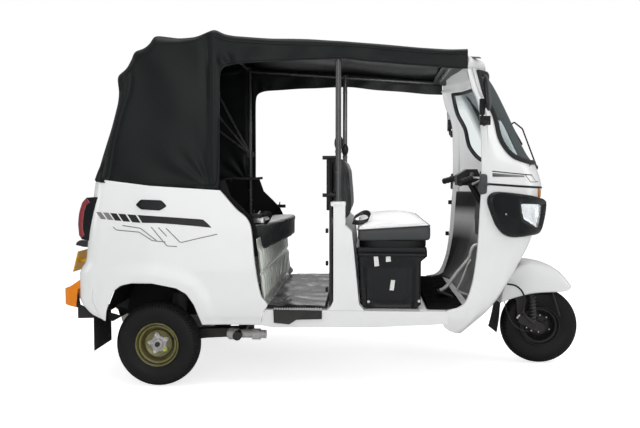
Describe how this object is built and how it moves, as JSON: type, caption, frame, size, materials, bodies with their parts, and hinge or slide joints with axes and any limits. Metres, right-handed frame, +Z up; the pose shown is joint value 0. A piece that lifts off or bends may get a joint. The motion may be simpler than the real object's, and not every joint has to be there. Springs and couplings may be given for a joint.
{
  "type": "auto rickshaw",
  "caption": "Three-wheeled passenger auto rickshaw with open sides, a black folding vinyl hood, a bench behind the driver, a steered front wheel and a hinged rear engine lid.",
  "frame": {"origin": "on the ground, under the middle of the vehicle's overall box", "axes": "+X forward, +Y to the vehicle's left, +Z up"},
  "size_m": [2.674, 1.56, 1.7499],
  "materials": {
    "body_white": "gloss",
    "chassis_black": "satin",
    "mat_rubber": "satin",
    "black_plastic": "matt",
    "screen_glass": "clear",
    "apron_grey": "satin",
    "bare_steel": "satin",
    "lamp_clear": "clear",
    "seat_vinyl": "satin",
    "seat_dark": "satin",
    "bench_green": "gloss",
    "hood_vinyl": "satin",
    "clear_vinyl": "clear",
    "frame_tube": "satin",
    "engine_alloy": "cast",
    "bumper_orange": "gloss",
    "flap_rubber": "matt",
    "lamp_red": "gloss",
    "plate_yellow": "satin",
    "tyre": "matt",
    "rim_olive": "satin",
    "rim_black": "gloss"
  },
  "bodies": {
    "body": {"chassis_frame": "chassis_black", "floor_pan": "body_white", "floor_mat": "mat_rubber", "step_plates": "black_plastic", "rear_tub": "body_white", "arch_liners": "black_plastic", "front_cowl": "body_white", "header": "body_white", "windscreen": "screen_glass", "inner_apron": "apron_grey", "dash_panel": "black_plastic", "brake_pedal": "bare_steel", "headlamp_pods": "black_plastic", "headlamp_lenses": "lamp_clear", "middle_posts": "body_white", "partition": "chassis_black", "driver_seat_box": "black_plastic", "driver_cushion": "seat_vinyl", "driver_backrest": "seat_dark", "bench_panel": "bench_green", "passenger_cushion": "seat_vinyl", "passenger_backrest": "seat_dark", "inner_trims": "black_plastic", "hood": "hood_vinyl", "rear_window": "clear_vinyl", "hood_frame": "frame_tube", "grab_rail": "chassis_black", "engine_block": "engine_alloy", "silencer": "bare_steel", "trailing_arms": "chassis_black", "rear_shocks": "chassis_black", "rear_bumper": "bumper_orange", "bumper_brackets": "chassis_black", "rear_mud_flaps": "flap_rubber", "tail_lamp_housings": "black_plastic", "tail_lamp_lenses": "lamp_red", "mirrors": "black_plastic", "wiper": "black_plastic"},
    "rear_lid": {"rear_lid": "body_white", "number_plate": "plate_yellow"},
    "steering": {"front_fork": "chassis_black", "front_shocks": "chassis_black", "front_mudguard": "body_white", "front_mud_flap": "flap_rubber", "handlebar": "chassis_black"},
    "front_wheel": {"front_tyre": "tyre", "front_rim": "rim_black"},
    "rear_wheel_right": {"rear_tyre_right": "tyre", "rear_rim_right": "rim_olive"},
    "rear_wheel_left": {"rear_tyre_left": "tyre", "rear_rim_left": "rim_olive"}
  },
  "joints": [
    {"name": "steer", "type": "hinge", "parent": "body", "child": "steering", "pos_m": [0.743, 0, 1], "axis": [-0.4939, 0, 0.8695], "range_deg": [-40, 40]},
    {"name": "front_wheel_spin", "type": "hinge", "parent": "steering", "child": "front_wheel", "pos_m": [1.128, 0, 0.209], "axis": [0, 1, 0], "continuous": true},
    {"name": "rear_wheel_spin_right", "type": "hinge", "parent": "body", "child": "rear_wheel_right", "pos_m": [-0.857, -0.575, 0.209], "axis": [0, 1, 0], "continuous": true},
    {"name": "rear_wheel_spin_left", "type": "hinge", "parent": "body", "child": "rear_wheel_left", "pos_m": [-0.857, 0.575, 0.209], "axis": [0, 1, 0], "continuous": true},
    {"name": "rear_lid_hinge", "type": "hinge", "parent": "body", "child": "rear_lid", "pos_m": [-1.202, 0, 0.868], "axis": [0, 1, 0], "range_deg": [0, 75]}
  ]
}
